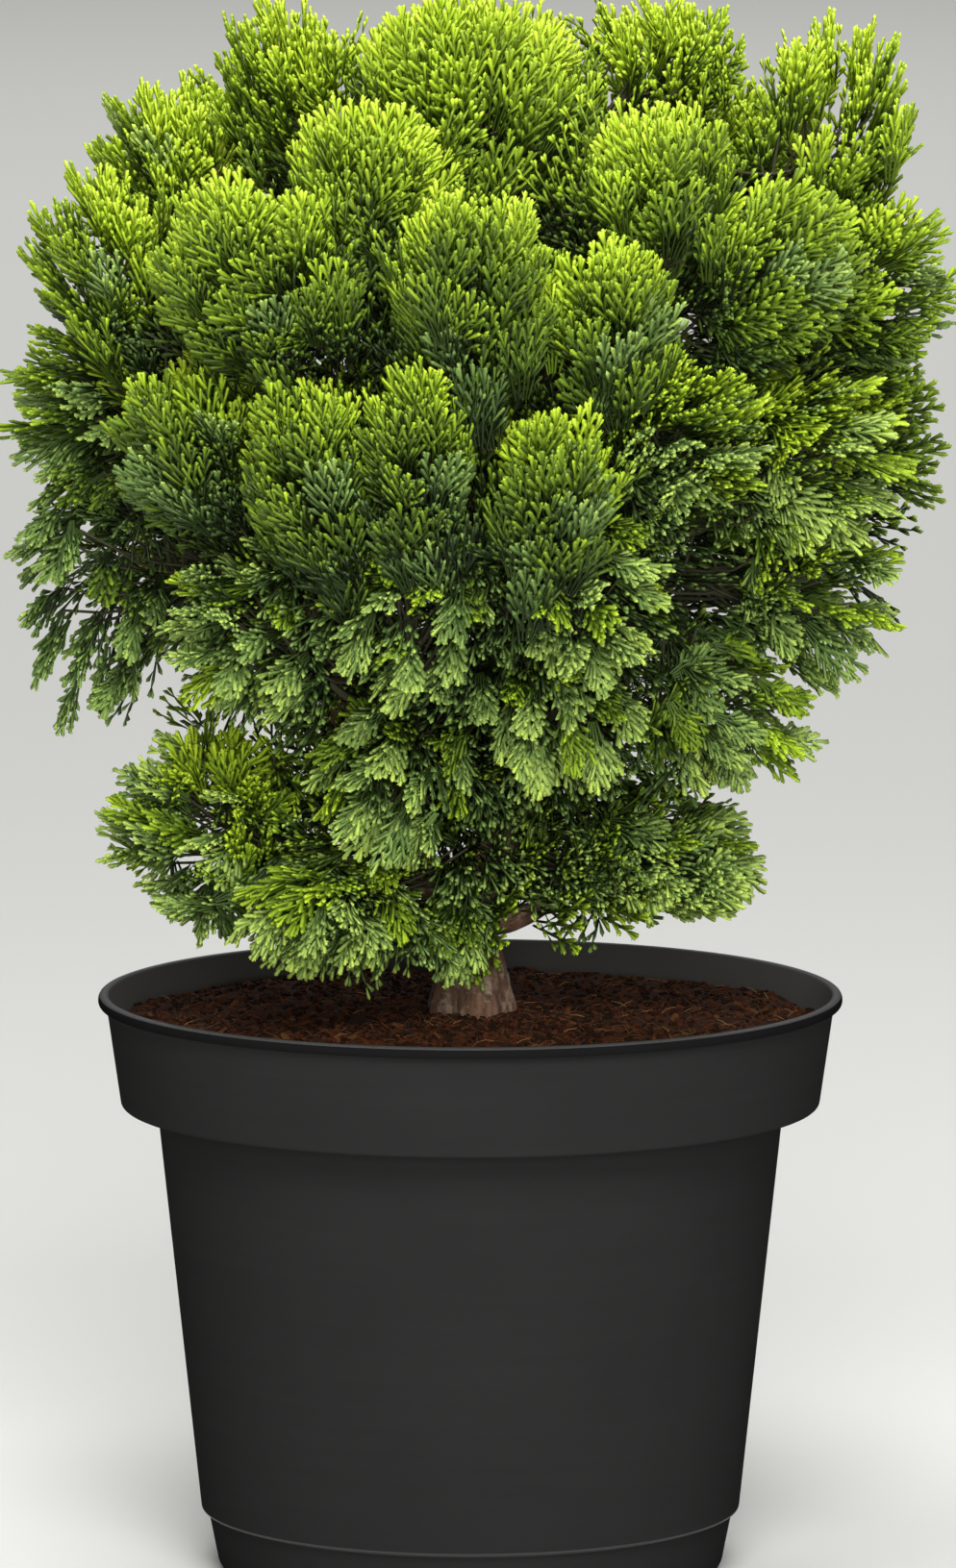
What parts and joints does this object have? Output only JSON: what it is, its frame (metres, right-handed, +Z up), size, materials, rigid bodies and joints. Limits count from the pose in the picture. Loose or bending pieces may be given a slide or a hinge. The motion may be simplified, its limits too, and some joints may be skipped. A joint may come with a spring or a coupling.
{
  "type": "dwarf hinoki cypress in pot",
  "caption": "Small dense dwarf hinoki cypress with fan-shaped green sprays on tiered boughs and a short leaning trunk, growing in a round black plastic nursery pot of dark soil.",
  "frame": {"origin": "middle of the pot's flat underside", "axes": "+Z up along the pot's axis, -Y towards the front of the plant, +X to the right as seen from the front"},
  "size_m": [0.2428, 0.2457, 0.4096],
  "materials": {
    "pot_plastic": "semi-matt black thermoformed plastic with a fine satin sheen",
    "potting_soil": "loose dark red-brown bark and coir potting mix, dull",
    "bark": "thin flaking red-brown bark, matt",
    "foliage": "dense flat sprays of scale leaves, yellow-green at the tips and deep green within, slightly waxy"
  },
  "bodies": {
    "root": {"pot": "pot_plastic", "soil": "potting_soil", "trunk": "bark", "left_limb": "bark", "bough_bottom_left": "bark", "bough_bottom_right": "bark", "bough_low_back": "bark", "bough_low_front": "bark", "bough_low_right": "bark", "bough_middle_back": "bark", "bough_middle_front": "bark", "bough_middle_left": "bark", "bough_middle_right": "bark", "bough_right": "bark", "bough_upper_back": "bark", "bough_upper_front": "bark", "bough_upper_right": "bark", "tuft_bottom_front_left": "foliage", "tuft_bottom_left": "foliage", "tuft_bottom_right": "foliage", "tuft_bottom_sprig": "foliage", "tuft_low_back_left": "foliage", "tuft_low_back_right": "foliage", "tuft_low_front": "foliage", "tuft_low_front_left": "foliage", "tuft_low_front_right": "foliage", "tuft_low_left": "foliage", "tuft_low_right": "foliage", "tuft_lower_back": "foliage", "tuft_lower_front_left": "foliage", "tuft_lower_front_right": "foliage", "tuft_lower_right": "foliage", "tuft_middle_back": "foliage", "tuft_middle_back_left": "foliage", "tuft_middle_back_right": "foliage", "tuft_middle_fan_front": "foliage", "tuft_middle_fan_left": "foliage", "tuft_middle_far_right": "foliage", "tuft_middle_front_left": "foliage", "tuft_middle_front_right": "foliage", "tuft_middle_left": "foliage", "tuft_middle_right": "foliage", "tuft_shoulder_front_left": "foliage", "tuft_shoulder_front_right": "foliage", "tuft_shoulder_left": "foliage", "tuft_shoulder_right": "foliage", "tuft_top_back": "foliage", "tuft_top_front": "foliage", "tuft_top_left": "foliage", "tuft_top_right": "foliage", "tuft_upper_back": "foliage", "tuft_upper_back_left": "foliage", "tuft_upper_back_right": "foliage", "tuft_upper_far_right": "foliage", "tuft_upper_front": "foliage", "tuft_upper_front_left": "foliage", "tuft_upper_front_right": "foliage", "tuft_upper_left": "foliage", "tuft_upper_right": "foliage"}
  },
  "joints": []
}
